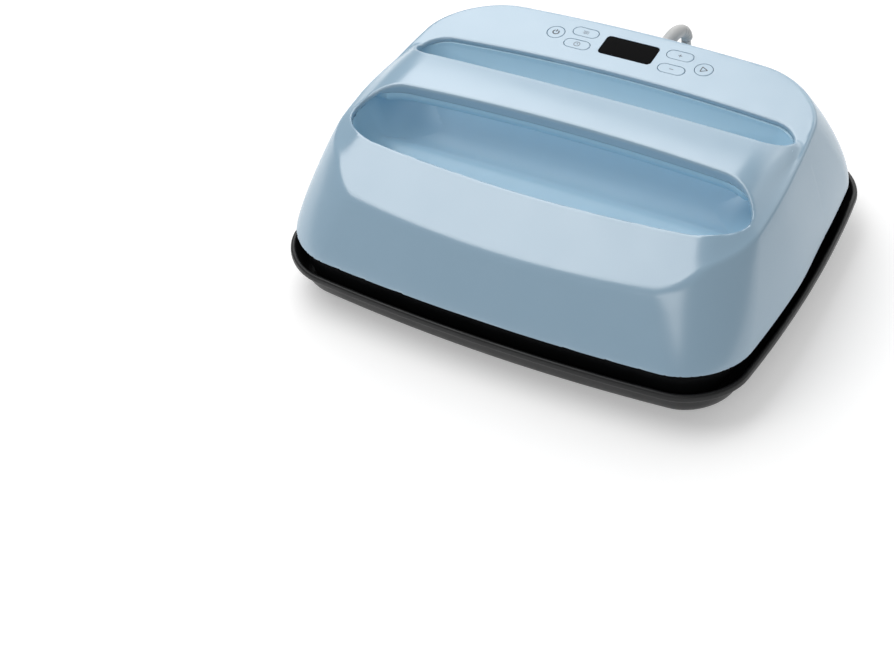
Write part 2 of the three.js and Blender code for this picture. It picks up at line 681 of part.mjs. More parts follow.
// The plug's moulded body along local X, then two flat blades and a round earth pin.
function mainsPlug() {
  const group = new THREE.Group();
  group.position.set(PLUG.x, PLUG.y, PLUG.z);
  group.rotation.z = radians(PLUG.heading);
  press.add(group);
  const sections = [[GAP, 4.4, 4.4], [4, 4.8, 4.8], [12, 7, 6.4], [17, 11.5, 9], [21, 13, 10], [38, 13, 10]];
  sections.push([40, 12, 9]);
  const rings = sections.map(([x, halfWidth, halfHeight]) => {
    const corner = Math.min(halfWidth, halfHeight) * 0.8;
    const points = outline({ halfWidth, front: -halfHeight, rear: halfHeight, corner }, 3, 1);
    return points.map((p) => new THREE.Vector3(x, p.x, p.y));
  });
  add("plug_body", loft(rings), CORD_GREY(), group);
  for (const [side, y] of [["left", -6.35], ["right", 6.35]]) {
    const blade = new THREE.BoxGeometry(16, 1.5, 6.35);
    add(`plug_blade_${side}`, blade, metal(0xc9b26a, 0.3), group).position.set(48.3, y, 4);
  }
  const pin = turned([[0, 40.3], [2.4, 40.3], [2.4, 57], [1, 59], [0, 59]], 12).rotateY(Math.PI / 2);
  add("plug_earth_pin", pin, metal(0xc9b26a, 0.3), group).position.set(0, 0, -5);
}

function mainsLead() {
  add("strain_relief", strainRelief(), CORD_GREY());
  add("cord", tubeAlong(vectors(EXIT_TO_COIL), CORD_RADIUS, 18, 5), CORD_GREY());
  add("cord_coil", cordCoil(), CORD_GREY()).position.set(COIL.x, COIL.y, 0);
  add("cord_tail", tubeAlong(vectors(COIL_TO_PLUG), CORD_RADIUS, 4, 5), CORD_GREY());
  mainsPlug();
}

// ---------------------------------------------------------------- assembly

const panel = panelFrame();
press.add(panel);
const flangeCorners = insetOutline(centred(SHELL), 11);
const screwSpots = [0, 1, 2, 3].map((quarter) => {
  const perCorner = CORNER_STEPS + SIDE_STEPS;
  return flangeCorners[quarter * perCorner + CORNER_STEPS / 2];
});
const screwHoles = screwSpots.map((spot) => disc(1.9, 30, 50, 12).translate(spot.x, spot.y, 0));

safetyBase();
shellOfPress(panel, screwHoles);
chassis(screwHoles);
heatStack();
standoffs();
electronics();
screws(screwSpots);
controlPanel(panel);
mainsLead();

export default press;
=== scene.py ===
import json
import math

import bmesh
import bpy
import numpy as np
from mathutils import Matrix, Vector


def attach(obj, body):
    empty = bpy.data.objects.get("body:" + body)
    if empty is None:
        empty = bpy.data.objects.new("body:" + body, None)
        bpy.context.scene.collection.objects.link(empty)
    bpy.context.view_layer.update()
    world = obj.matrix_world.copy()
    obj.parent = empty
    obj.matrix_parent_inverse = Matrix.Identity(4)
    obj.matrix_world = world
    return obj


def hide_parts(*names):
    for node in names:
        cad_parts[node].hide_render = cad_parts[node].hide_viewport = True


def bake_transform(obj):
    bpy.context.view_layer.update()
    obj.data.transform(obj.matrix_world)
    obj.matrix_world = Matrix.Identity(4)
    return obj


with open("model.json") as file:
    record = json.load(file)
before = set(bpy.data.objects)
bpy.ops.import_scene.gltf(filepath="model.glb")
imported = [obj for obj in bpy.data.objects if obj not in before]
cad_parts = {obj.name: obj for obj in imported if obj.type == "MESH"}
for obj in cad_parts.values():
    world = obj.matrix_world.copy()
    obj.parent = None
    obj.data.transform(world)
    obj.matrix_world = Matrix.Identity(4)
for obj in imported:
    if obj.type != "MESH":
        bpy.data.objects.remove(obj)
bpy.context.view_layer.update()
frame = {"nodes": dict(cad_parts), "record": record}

MM = 0.001

# ---------------------------------------------------------------- driving sizes, in millimetres

BASE = {"half_width": 175.2, "half_depth": 143.8, "corner": 38.6, "bulge": 9.7}
SHELL = {"half_width": 169.3, "half_depth": 135.5, "corner": 36.0, "bulge": 10.0}
PLATE = {"half_width": 152.5, "half_depth": 127.0, "corner": 26.0, "bulge": 6.0}
SHELL_BOTTOM = 41.5
SKIN = 3.0
GAP = 0.35
FRONT_PANEL = {"height": 145.0, "slope": 0.55}
REAR_PANEL = {"height": 104.2, "slope": 0.1}
PANEL_CENTRE_Y = 87.0
PANEL_TILT = math.atan(REAR_PANEL["slope"])
FRONT_SLOT = {"half_width": 144.5, "front": -76.0, "rear": -15.5, "corner": 24.0, "bulge": 7.5}
REAR_SLOT = {
    "half_width": 140.0, "front": 23.0, "rear": 61.0, "corner": 16.0, "bulge": 2.5, "sweep": 6.0,
}
HANDLE_PARTING = 110.7
HANDLE_UNDERSIDE = 101.0


def set_axes(obj, right, up, back, place):
    """Turns an object's own X, Y and Z to three directions and puts it at a place."""
    obj.matrix_world = Matrix.Translation(place) @ Matrix((right, up, back)).transposed().to_4x4()


# ---------------------------------------------------------------- camera

CAMERA_PLACE = Vector((0.4171, -0.8217, 0.7682))
CAMERA_AZIMUTH = math.radians(32.9)
CAMERA_ELEVATION = math.radians(42.49)
CAMERA_ROLL = math.radians(-4.84)
CAMERA_LENS = 67.44


def make_camera():
    back = Vector((
        math.sin(CAMERA_AZIMUTH) * math.cos(CAMERA_ELEVATION),
        -math.cos(CAMERA_AZIMUTH) * math.cos(CAMERA_ELEVATION),
        math.sin(CAMERA_ELEVATION),
    ))
    right = Vector((0, 0, 1)).cross(back).normalized()
    up = back.cross(right)
    turned_right = right * math.cos(CAMERA_ROLL) + up * math.sin(CAMERA_ROLL)
    turned_up = up * math.cos(CAMERA_ROLL) - right * math.sin(CAMERA_ROLL)
    data = bpy.data.cameras.new("camera")
    data.lens = CAMERA_LENS
    data.sensor_width = 36.0
    data.sensor_fit = "HORIZONTAL"
    data.clip_start = 0.01
    camera = bpy.data.objects.new("camera", data)
    set_axes(camera, turned_right, turned_up, back, CAMERA_PLACE)
    bpy.context.scene.collection.objects.link(camera)
    bpy.context.scene.camera = camera


make_camera()

# ---------------------------------------------------------------- materials


class Nodes:
    """A material's node tree, with short ways to add what every material here uses."""

    def __init__(self, name):
        self.material = bpy.data.materials.new(name)
        self.material.use_nodes = True
        self.tree = self.material.node_tree
        self.shader = self.tree.nodes["Principled BSDF"]
        self.place = self.add("ShaderNodeTexCoord").outputs["Object"]

    def add(self, kind, **values):
        node = self.tree.nodes.new(kind)
        for key, value in values.items():
            setattr(node, key, value)
        return node

    def link(self, a, b):
        self.tree.links.new(a, b)

    def set(self, **values):
        for key, value in values.items():
            self.shader.inputs[key.replace("_", " ")].default_value = value

    def noise(self, scale, detail=3.0, roughness=0.5, stretch=None):
        node = self.add("ShaderNodeTexNoise")
        node.inputs["Scale"].default_value = scale
        node.inputs["Detail"].default_value = detail
        node.inputs["Roughness"].default_value = roughness
        place = self.place
        if stretch is not None:
            mapping = self.add("ShaderNodeMapping")
            mapping.inputs["Scale"].default_value = stretch
            self.link(self.place, mapping.inputs["Vector"])
            place = mapping.outputs["Vector"]
        self.link(place, node.inputs["Vector"])
        return node.outputs["Fac"]

    def ramp(self, value, stops):
        """Colours at their places along a value."""
        node = self.add("ShaderNodeValToRGB")
        while len(node.color_ramp.elements) < len(stops):
            node.color_ramp.elements.new(0.5)
        for element, (position, color) in zip(node.color_ramp.elements, stops):
            element.position = position
            element.color = (*color, 1)
        self.link(value, node.inputs["Fac"])
        return node.outputs["Color"]

    def spread(self, value, low, high):
        """A noise value, which mostly lies between 0.3 and 0.7, widened to low ... high."""
        node = self.add("ShaderNodeMapRange")
        node.inputs["From Min"].default_value = 0.3
        node.inputs["From Max"].default_value = 0.7
        node.inputs["To Min"].default_value = low
        node.inputs["To Max"].default_value = high
        self.link(value, node.inputs["Value"])
        return node.outputs["Result"]

    def color(self, value, stops):
        self.link(self.ramp(value, stops), self.shader.inputs["Base Color"])

    def gloss(self, value, low, high):
        self.link(self.spread(value, low, high), self.shader.inputs["Roughness"])

    def bump(self, heights):
        """Stacks bumps: each is (height socket, strength, distance)."""
        normal = None
        for height, strength, distance in heights:
            node = self.add("ShaderNodeBump")
            node.inputs["Strength"].default_value = strength
            node.inputs["Distance"].default_value = distance
            self.link(height, node.inputs["Height"])
            if normal is not None:
                self.link(normal, node.inputs["Normal"])
            normal = node.outputs["Normal"]
        self.link(normal, self.shader.inputs["Normal"])


def shade(color, factor):
    return tuple(min(c * factor, 1.0) for c in color)


def moulded(name, color, roughness=(0.36, 0.46), grain=0.05, spread=0.03, specular=0.5, ior=1.5):
    """Moulded plastic: faint mottling of colour and gloss and a fine spark-eroded grain."""
    n = Nodes(name)
    n.color(n.noise(9.0, 3.0), [(0.3, shade(color, 1 - spread)), (0.7, shade(color, 1 + spread))])
    n.gloss(n.noise(45.0, 4.0), *roughness)
    n.set(Specular_IOR_Level=specular, IOR=ior)
    n.bump([
        (n.noise(3200.0, 2.0), grain, 0.00006),
        (n.noise(260.0, 2.0), grain * 0.5, 0.00012),
    ])
    return n.material


def rubbery(name, color, roughness=(0.6, 0.8)):
    n = Nodes(name)
    n.color(n.noise(30.0, 4.0), [(0.3, shade(color, 0.85)), (0.75, shade(color, 1.15))])
    n.gloss(n.noise(120.0, 3.0), *roughness)
    n.bump([(n.noise(1400.0, 3.0), 0.15, 0.0001)])
    return n.material


def sheet_metal(name, color, roughness=(0.28, 0.42), stretch=(1, 40, 40)):
    """Rolled or brushed metal, with its grain drawn out along one axis."""
    n = Nodes(name)
    grain = n.noise(60.0, 6.0, 0.65, stretch)
    n.color(grain, [(0.3, shade(color, 0.88)), (0.7, shade(color, 1.08))])
    n.gloss(grain, *roughness)
    n.set(Metallic=1.0)
    n.bump([(grain, 0.12, 0.0001)])
    return n.material


def display_glass():
    """Smoked glass, almost black and with hardly any shine, as the display is off."""
    n = Nodes("display_glass")
    n.color(n.noise(20.0, 2.0), [(0.3, (0.0012, 0.0013, 0.0016)), (0.7, (0.0018, 0.0019, 0.0022))])
    n.gloss(n.noise(300.0, 2.0), 0.10, 0.16)
    n.set(Specular_IOR_Level=0.012)
    return n.material


def coated_plate():
    """The heat plate's dark ceramic coat, with a fine metallic speckle."""
    n = Nodes("coated_plate")
    speck = n.noise(900.0, 2.0)
    n.color(speck, [(0.45, (0.030, 0.030, 0.032)), (0.72, (0.10, 0.10, 0.105))])
    n.gloss(n.noise(60.0, 4.0), 0.3, 0.45)
    n.bump([(speck, 0.12, 0.00008)])
    return n.material


def fibre():
    n = Nodes("blanket_fibre")
    strands = n.noise(240.0, 6.0, 0.7, (1, 6, 1))
    n.color(strands, [(0.3, (0.62, 0.58, 0.50)), (0.7, (0.85, 0.82, 0.76))])
    n.set(Roughness=0.95, Sheen_Weight=0.2)
    n.bump([(strands, 0.6, 0.0006)])
    return n.material


def circuit_board():
    n = Nodes("circuit_board")
    voronoi = n.add("ShaderNodeTexVoronoi")
    voronoi.inputs["Scale"].default_value = 260.0
    n.link(n.place, voronoi.inputs["Vector"])
    n.color(voronoi.outputs["Distance"], [(0.2, (0.03, 0.19, 0.07)), (0.5, (0.012, 0.085, 0.032))])
    n.set(Roughness=0.35)
    n.bump([(voronoi.outputs["Distance"], 0.2, 0.0001)])
    return n.material


BLUE = (0.262, 0.4, 0.517)
# A lighter copy of the shell's blue for the recess and the grip's underside: partly the inner mouldings'
# own tone, partly painted light that brightens the shaded recess.
LIT_INNER_BLUE = (0.41, 0.62, 0.76)
NEAR_BLACK = (0.0055, 0.0058, 0.0065)
MATERIALS = {
    "blue_shell": moulded("blue_shell", BLUE, (0.2, 0.26), 0.04, 0.012, 1.0, 1.6),
    "lit_inner_blue": moulded("lit_inner_blue", LIT_INNER_BLUE, (0.34, 0.42), 0.04, 0.012, 0.5),
    "black_plastic": moulded("black_plastic", NEAR_BLACK, (0.34, 0.46), 0.10, 0.15, 0.4),
    "inner_plastic": moulded("inner_plastic", (0.02, 0.02, 0.022), (0.45, 0.6), 0.15, 0.15),
    "silicone": rubbery("silicone", (0.03, 0.03, 0.032)),
    "sheet_aluminium": sheet_metal("sheet_aluminium", (0.62, 0.63, 0.64)),
    "coated_plate": coated_plate(),
    "steel": sheet_metal("steel", (0.52, 0.52, 0.53), (0.3, 0.45), (1, 12, 1)),
    "blanket_fibre": fibre(),
    "ceramic": moulded("ceramic", (0.70, 0.62, 0.42), (0.2, 0.3), 0.1, 0.1),
    "circuit_board": circuit_board(),
    "connector_green": moulded("connector_green", (0.05, 0.25, 0.09), (0.3, 0.4), 0.1, 0.1),
    "transformer_yellow": moulded("transformer_yellow", (0.60, 0.40, 0.05), (0.3, 0.5), 0.2, 0.12),
    "display_glass": display_glass(),
    "cord_grey": moulded("cord_grey", (0.50, 0.50, 0.495), (0.42, 0.54), 0.12, 0.04),
    "plug_brass": sheet_metal("plug_brass", (0.66, 0.50, 0.22), (0.2, 0.32), (1, 20, 20)),
    "key_ink": moulded("key_ink", (0.012, 0.014, 0.018), (0.5, 0.6), 0.1, 0.1),
}


def paint(obj, slot):
    obj.data.materials.clear()
    obj.data.materials.append(MATERIALS[slot])


for row in frame["record"]["subparts"]:
    paint(frame["nodes"][row["node"]], row["material_slot"])

# ---------------------------------------------------------------- meshes from arrays


def smooth_by_angle(mesh, degrees):
    mesh.shade_smooth()
    mesh.set_sharp_from_angle(angle=math.radians(degrees))


def mesh_object(name, points, faces, slot, body, replaces=(), sharp=40.0):
    """A mesh from points in millimetres, painted, riding on a body and standing for CAD nodes.
    Edges that turn by more than `sharp` degrees are shaded as sharp ones."""
    mesh = bpy.data.meshes.new(name)
    mesh.from_pydata((np.asarray(points, float) * MM).tolist(), [], faces)
    mesh.validate()
    smooth_by_angle(mesh, sharp)
    obj = bpy.data.objects.new(name, mesh)
    bpy.context.scene.collection.objects.link(obj)
    finish_piece(obj, slot, body, replaces)
    return obj


def finish_piece(obj, slot, body, replaces):
    paint(obj, slot)
    if body is not None:
        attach(obj, body)
    if replaces:
        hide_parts(*replaces)


def ring_faces(low, high, count):
    """Quads between the rings of `count` points that start at `low` and at `high`."""
    return [(low + i, low + (i + 1) % count, high + (i + 1) % count, high + i) for i in range(count)]


def loft(rings, loop=False):
    """Points and faces of rings of equal length. The last ring joins the first one in a loop;
    otherwise a single polygon closes each end."""
    count = len(rings[0])
    points = np.concatenate([np.asarray(r, float) for r in rings])
    last = (len(rings) - 1) * count
    faces = []
    for low in range(0, last, count):
        faces += ring_faces(low, low + count, count)
    if loop:
        faces += ring_faces(last, 0, count)
    else:
        faces += [tuple(reversed(range(count))), tuple(range(last, last + count))]
    return points, faces


# ---------------------------------------------------------------- implicit shapes


def soft_max(a, b, k):
    """The larger of two distances, with the edge between them rounded over a width of about k."""
    h = np.maximum(k - np.abs(a - b), 0.0)
    return np.maximum(a, b) + h * h / (4.0 * k)


def soft_min(a, b, k):
    return -soft_max(-a, -b, k)


def smooth_step(t):
    t = np.clip(t, 0.0, 1.0)
    return t * t * (3.0 - 2.0 * t)


def outline_distance(x, y, half_width, front, rear, corner, bulge=0.0, sweep=0.0):
    """Signed distance in plan to a rounded rectangle; negative inside. Its sides bulge by `bulge` at
    their middles, and its two ends are swept forward by `sweep`."""
    reach = 1.05
    middle = (front + rear) / 2.0
    half_depth = (rear - front) / 2.0
    share = np.clip(x / half_width, -reach, reach)
    along = y - middle + sweep * share**2
    up = np.clip(along / half_depth, -reach, reach)
    over_x = np.abs(x) - (half_width - bulge * up**2) + corner
    over_y = np.abs(along) - (half_depth - bulge * share**2) + corner
    outside = np.hypot(np.maximum(over_x, 0.0), np.maximum(over_y, 0.0))
    return outside + np.minimum(np.maximum(over_x, over_y), 0.0) - corner


WALLS = {
    "span": 70.0,  # height over which the leans below are reached
    "side": (20.5, 1.35), "front": (41.0, 1.10), "rear": (24.6, 1.6),  # how far in, and how curved
    "corner_grows": 10.0,
    "steepness": 0.93,  # turns a distance in plan into one across the leaning wall
}
CROWN = {"height": 118.9, "y": 3.5, "falls_back": 0.0016, "falls_sideways": 0.00003}
HANDLE_REAR = {"edge": 24.0, "flare": 16.0, "flare_from": 122.0, "flare_span": 28.0}
# The handle runs softly into the lower body, apart from where both reach the walls behind y.
JOIN = {"sharp": 0.4, "adds": 9.6, "depth": 12.0, "y": -25.0, "span": 62.0}
SHOULDER = 24.0
CREASE = 2.0
HANDLE_EDGE = 5.0
SLOT_EDGE = 2.6
# The skin is thicker where it slants most, so that its two sides never share a cell of the grid.
CORNER_SKIN = {"adds": 2.6, "x": 110.0, "y": 58.0, "span": 20.0}
RECESS = {
    "under_handle": {"half_width": 142.0, "front": -40.0, "rear": 40.0, "corner": 10.0},
    "join": 14.0, "inset": 0.3, "lean": 0.16, "lean_from": 104.0,
    "floor": 64.0, "floor_rise": 21.0, "rise_from": -46.0, "rise_span": 96.0, "rise_power": 1.5,
    "round": 34.0, "wall": 2.2,
}
LINER = {"inset": 0.15, "middle": 1.0, "half_depth": 27.0, "round": 9.0, "wall": 2.4, "floor": 3.0}


def walls(x, y, z):
    """The shell's leaning outer walls."""
    u = np.clip((z - SHELL_BOTTOM) / WALLS["span"], 0.0, 1.2)
    side, front, rear = (lean * u**power for lean, power in (WALLS["side"], WALLS["front"], WALLS["rear"]))
    distance = outline_distance(
        x, y, SHELL["half_width"] - side, front - SHELL["half_depth"], SHELL["half_depth"] - rear,
        SHELL["corner"] + WALLS["corner_grows"] * u, SHELL["bulge"] - u,
    )
    return distance * WALLS["steepness"]


def hand_slots(x, y):
    """Both openings in front of and behind the handle, in plan: negative inside them."""
    return np.minimum(outline_distance(x, y, **FRONT_SLOT), outline_distance(x, y, **REAR_SLOT))


def over_panel(panel, y, z):
    """Height above a sloping panel, square to it."""
    return (z - panel["height"] - panel["slope"] * y) * math.cos(math.atan(panel["slope"]))


def body(x, y, z):
    """The whole outer form of the shell before the hand slots are cut."""
    side = walls(x, y, z)
    fall = CROWN["falls_back"] * (y - CROWN["y"]) ** 2 + CROWN["falls_sideways"] * x**2
    crown = z - (CROWN["height"] - fall)
    lower = soft_max(side, over_panel(REAR_PANEL, y, z), CREASE)
    flare = smooth_step((np.abs(x) - HANDLE_REAR["flare_from"]) / HANDLE_REAR["flare_span"])
    edge = HANDLE_REAR["edge"] + HANDLE_REAR["flare"] * flare
    band = soft_max(soft_max(side, crown, SHOULDER), y - edge, HANDLE_EDGE)
    behind = smooth_step((y - JOIN["y"]) / JOIN["span"])
    fade = np.maximum(smooth_step(-side / JOIN["depth"]), 1.0 - behind)
    handle_and_lower = soft_min(lower, band, JOIN["sharp"] + JOIN["adds"] * fade)
    return soft_max(handle_and_lower, over_panel(FRONT_PANEL, y, z), CREASE)


def top_housing(x, y, z):
    """The shell's skin, open below and thicker at the corners, with the two hand slots and the
    skirts of the handle."""
    outer = body(x, y, z)
    slots = hand_slots(x, y)
    cut = soft_max(outer, -slots, SLOT_EDGE)
    skirt = np.maximum(slots - SKIN, HANDLE_PARTING - z)
    corner = smooth_step((np.abs(x) - CORNER_SKIN["x"]) / CORNER_SKIN["span"])
    corner *= smooth_step((np.abs(y) - CORNER_SKIN["y"]) / CORNER_SKIN["span"])
    solid = np.minimum(-(outer + SKIN + CORNER_SKIN["adds"] * corner), skirt)
    return np.maximum(np.maximum(cut, solid), SHELL_BOTTOM - z)


def recess(x, y, z):
    """The hollow of the hand recess: negative inside it."""
    middle = outline_distance(x, y, **RECESS["under_handle"])
    plan = soft_min(hand_slots(x, y), middle, RECESS["join"]) - RECESS["inset"]
    lean = RECESS["lean"] * np.maximum(RECESS["lean_from"] - z, 0.0)
    rise = np.clip((y - RECESS["rise_from"]) / RECESS["rise_span"], 0.0, 1.0) ** RECESS["rise_power"]
    floor = RECESS["floor"] + RECESS["floor_rise"] * rise
    return soft_max(plan + lean, floor - z, RECESS["round"])


def recess_tub(x, y, z):
    hollow = recess(x, y, z)
    wall = np.maximum(-hollow, hollow - RECESS["wall"])
    wall = np.maximum(wall, z - (HANDLE_PARTING - GAP))
    return np.maximum(wall, body(x, y, z) + SKIN + GAP)


def handle_liner(x, y, z):
    """The lower half of the grip, a channel whose ends stop against the recess."""
    band = np.maximum(LINER["inset"] - hand_slots(x, y), np.abs(y - LINER["middle"]) - LINER["half_depth"])
    outer = soft_max(band, HANDLE_UNDERSIDE - z, LINER["round"])
    shape = np.maximum(outer, z - (HANDLE_PARTING - GAP))
    shape = np.maximum(shape, recess(x, y, z) + GAP)
    return np.maximum(shape, -(np.maximum(outer + LINER["wall"], HANDLE_UNDERSIDE + LINER["floor"] - z)))


# ---------------------------------------------------------------- sampled surfaces

FINE = 1.5  # the grid's step
HALVINGS = 12  # how often a crossing's place on an edge is narrowed down
DRAWS = 3
LONGEST_DRAW = 0.3  # as a share of the step
LEAST_STEEPNESS = 0.25
FLAT_AXIS = 0.06  # a direction weaker than this share of the strongest is left alone
FOLDED = 0.5  # cosine
SAME_SURFACE = math.cos(math.radians(32))
TINY = 1e-9


def slopes(function, points):
    """Gradient of the function at points."""
    delta = 0.01
    x, y, z = points.T
    return np.stack([
        function(x + delta, y, z) - function(x - delta, y, z),
        function(x, y + delta, z) - function(x, y - delta, z),
        function(x, y, z + delta) - function(x, y, z - delta),
    ], 1) / (2 * delta)


def unit(vectors):
    return vectors / np.maximum(np.linalg.norm(vectors, axis=1), TINY)[:, None]


def crossed_edges(function, inside, low, step, axis):
    """The grid edges along an axis that the surface crosses, which of them start inside, and the
    places of the crossings."""
    here = np.take(inside, range(inside.shape[axis] - 1), axis)
    there = np.take(inside, range(1, inside.shape[axis]), axis)
    edges = np.argwhere(here != there)
    rising = here[tuple(edges.T)]
    start = low + edges * step
    edge = step * np.eye(3)[axis]
    near, far = np.zeros(len(edges)), np.ones(len(edges))
    for _ in range(HALVINGS):
        middle = (near + far) / 2
        same = (function(*(start + middle[:, None] * edge).T) < 0) == rising
        near = np.where(same, middle, near)
        far = np.where(same, far, middle)
    return edges, rising, start + ((near + far) / 2)[:, None] * edge


def surface(function, low, high, step):
    """Points and quads of the surface where function is zero. It is sampled on a grid; each cell
    that the surface crosses gets one point, placed by the surface's crossings of the cell's edges
    and their normals, so creases and corners stay sharp, and then drawn onto the surface."""
    low = np.asarray(low, float)
    axes = [np.arange(a, b + step, step) for a, b in zip(low, high)]
    values = np.empty([len(a) for a in axes])
    plan_x, plan_y = np.meshgrid(axes[0], axes[1], indexing="ij")
    for k, z in enumerate(axes[2]):
        values[:, :, k] = function(plan_x, plan_y, np.full_like(plan_x, z))
    inside = values < 0
    cell_ids = np.full(np.array(values.shape) + 1, -1, np.int64)
    crossings = []
    quads = []
    for axis in range(3):
        edges, rising, places = crossed_edges(function, inside, low, step, axis)
        normals = unit(slopes(function, places))
        around = []
        for a, b in ((0, 0), (1, 0), (1, 1), (0, 1)):
            cell = edges + 1
            cell[:, (axis + 1) % 3] -= a
            cell[:, (axis + 2) % 3] -= b
            around.append(cell)
            crossings.append((cell, places, normals))
        quads.append((around, rising))
    cells = np.concatenate([c for c, _, _ in crossings])
    places = np.concatenate([p for _, p, _ in crossings])
    normals = np.concatenate([n for _, _, n in crossings])
    flat = np.ravel_multi_index(cells.T, cell_ids.shape)
    unique, owner = np.unique(flat, return_inverse=True)
    cell_ids.ravel()[unique] = np.arange(len(unique))
    corners = low + (np.stack(np.unravel_index(unique, cell_ids.shape), 1) - 1) * step
    points, middles = cell_points(len(unique), owner, places, normals, corners, step)
    points = drawn_on(function, points, step)
    faces = []
    for around, rising in quads:
        quad = np.stack([cell_ids[tuple(cell.T)] for cell in around], 1)
        quad[~rising] = quad[~rising][:, ::-1]
        faces.append(quad)
    faces = np.concatenate(faces)
    again = np.unique(faces[folded_faces(function, points, faces)])
    points[again] = drawn_on(function, middles[again], step)
    return points, faces.tolist()


def drawn_on(function, points, step):
    """Moves points onto the surface where function is zero, along its slope."""
    farthest = LONGEST_DRAW * step
    for _ in range(DRAWS):
        slope = slopes(function, points)
        steepness = np.maximum((slope**2).sum(1), LEAST_STEEPNESS)
        move = -slope * (function(*points.T) / steepness)[:, None]
        points = points + np.clip(move, -farthest, farthest)
    return points


def folded_faces(function, points, faces):
    """Which faces turn away from the function's own direction at all of their corners."""
    first, second, third = (points[faces[:, k]] for k in range(3))
    across = unit(np.cross(second - first, third - first))
    outward = unit(slopes(function, points))
    return np.einsum("nij,nj->ni", outward[faces], across).max(1) < FOLDED


def cell_points(count, owner, places, normals, corners, step):
    """The point of each cell that lies nearest to all the planes of its crossings, and the crossings'
    middle. A direction that the planes say too little about keeps the middle's place."""
    def gathered(rows):
        total = np.zeros((count,) + rows.shape[1:])
        np.add.at(total, owner, rows)
        return total

    hits = gathered(np.ones(len(owner)))
    centre = gathered(places) / hits[:, None]
    offsets = ((places - centre[owner]) * normals).sum(1)
    matrix = gathered(normals[:, :, None] * normals[:, None, :])
    right = gathered(normals * offsets[:, None])
    sizes, axes = np.linalg.eigh(matrix)
    weak = sizes < FLAT_AXIS * sizes[:, -1:]
    inverse = np.where(weak, 0.0, 1.0 / np.where(weak, 1.0, sizes))
    along = np.einsum("nij,ni->nj", axes, right) * inverse
    points = centre + np.einsum("nij,nj->ni", axes, along)
    return np.clip(points, corners, corners + step), centre


def true_normals(obj, function):
    """Shades a sampled piece with its function's own normals, apart from where its edges are sharp."""
    mesh = obj.data
    points = np.empty(len(mesh.vertices) * 3)
    mesh.vertices.foreach_get("co", points)
    exact = unit(slopes(function, points.reshape(-1, 3) / MM))
    corners = np.empty(len(mesh.loops), np.int32)
    mesh.loops.foreach_get("vertex_index", corners)
    present = np.empty(len(mesh.loops) * 3)
    mesh.corner_normals.foreach_get("vector", present)
    present = present.reshape(-1, 3)
    wanted = exact[corners]
    alike = (wanted * present).sum(1) > SAME_SURFACE
    mesh.normals_split_custom_set(np.where(alike[:, None], wanted, present).tolist())


# ---------------------------------------------------------------- outlines, profiles and lofts

CORNER_STEPS = 14
SIDE_STEPS = 18


def outline(half_width, half_depth, corner, bulge=0.0, sides=SIDE_STEPS, steps=CORNER_STEPS):
    """A rounded rectangle in plan whose sides bulge."""
    arcs = []
    for quarter in range(4):
        side_x = 1 if quarter in (0, 1) else -1
        side_y = 1 if quarter in (1, 2) else -1
        for step in range(steps + 1):
            angle = math.pi / 2 * (quarter - 1 + step / steps)
            arcs.append((
                side_x * (half_width - corner) + corner * math.cos(angle),
                side_y * (half_depth - corner) + corner * math.sin(angle),
            ))
    points = []
    for i, (x, y) in enumerate(arcs):
        points.append((x, y))
        if i % (steps + 1) == steps:
            far_x, far_y = arcs[(i + 1) % len(arcs)]
            for k in range(1, sides):
                points.append((x + (far_x - x) * k / sides, y + (far_y - y) * k / sides))
    s, t = (np.array(points) / (half_width, half_depth)).T
    return np.column_stack([s * (half_width - bulge * t * t), t * (half_depth - bulge * s * s)])


def inset_ring(size, inset, z, least=2.0, **steps):
    """The outline of `size` drawn in by `inset`, at height z, with corners of at least `least`."""
    corner = max(size["corner"] - inset, least)
    half_width, half_depth = size["half_width"] - inset, size["half_depth"] - inset
    plan = outline(half_width, half_depth, corner, size.get("bulge", 0.0), **steps)
    return np.column_stack([plan, np.full(len(plan), z)])


def rounded(corners, steps=4, closed=False):
    """A polyline of (a, b, radius) corners with each corner rounded off."""
    points = []
    count = len(corners)
    for i, (a, b, radius) in enumerate(corners):
        here = np.array((a, b), float)
        if radius == 0 or (not closed and i in (0, count - 1)):
            points.append(here)
            continue
        before = np.array(corners[i - 1][:2], float) - here
        after = np.array(corners[(i + 1) % count][:2], float) - here
        reach_before = min(radius, 0.48 * np.linalg.norm(before))
        reach_after = min(radius, 0.48 * np.linalg.norm(after))
        start = here + before / np.linalg.norm(before) * reach_before
        end = here + after / np.linalg.norm(after) * reach_after
        for step in range(steps + 1):
            t = step / steps
            points.append((1 - t) ** 2 * start + 2 * t * (1 - t) * here + t * t * end)
    return points


def circle_angles(sides):
    """Angles of `sides` even steps round a circle."""
    return 2 * math.pi * np.arange(sides) / sides


def turned(profile, x, y, sides=48):
    """Rings of a turned piece about an upright axis at x, y, from (radius, z) points."""
    c, s = np.cos(circle_angles(sides)), np.sin(circle_angles(sides))
    return [np.column_stack([x + r * c, y + r * s, np.full(sides, z)]) for r, z in profile]


def lofted_object(name, rings, slot, body, replaces=(), sharp=40.0, loop=False):
    points, faces = loft(rings, loop=loop)
    return mesh_object(name, points, faces, slot, body, replaces, sharp)


# ---------------------------------------------------------------- control panel's frame

PANEL_ORIGIN = np.array((0.0, PANEL_CENTRE_Y, REAR_PANEL["height"] + REAR_PANEL["slope"] * PANEL_CENTRE_Y))
DISPLAY = {"half_width": 20.0, "half_depth": 9.8, "corner": 3.0}
ROUND_KEY = {"half_width": 6.4, "half_depth": 6.4, "corner": 6.39}
LONG_KEY = {"half_width": 9.8, "half_depth": 4.6, "corner": 4.59}
# places from the display's middle, and sizes
KEYS = {
    "power": (-57.0, 0.0, ROUND_KEY),
    "start": (57.0, -1.0, ROUND_KEY),
    "temperature": (-36.5, 7.0, LONG_KEY),
    "timer": (-37.0, -7.0, LONG_KEY),
    "plus": (36.0, 7.0, LONG_KEY),
    "minus": (36.0, -8.5, LONG_KEY),
}
KEY_GAP = 0.34


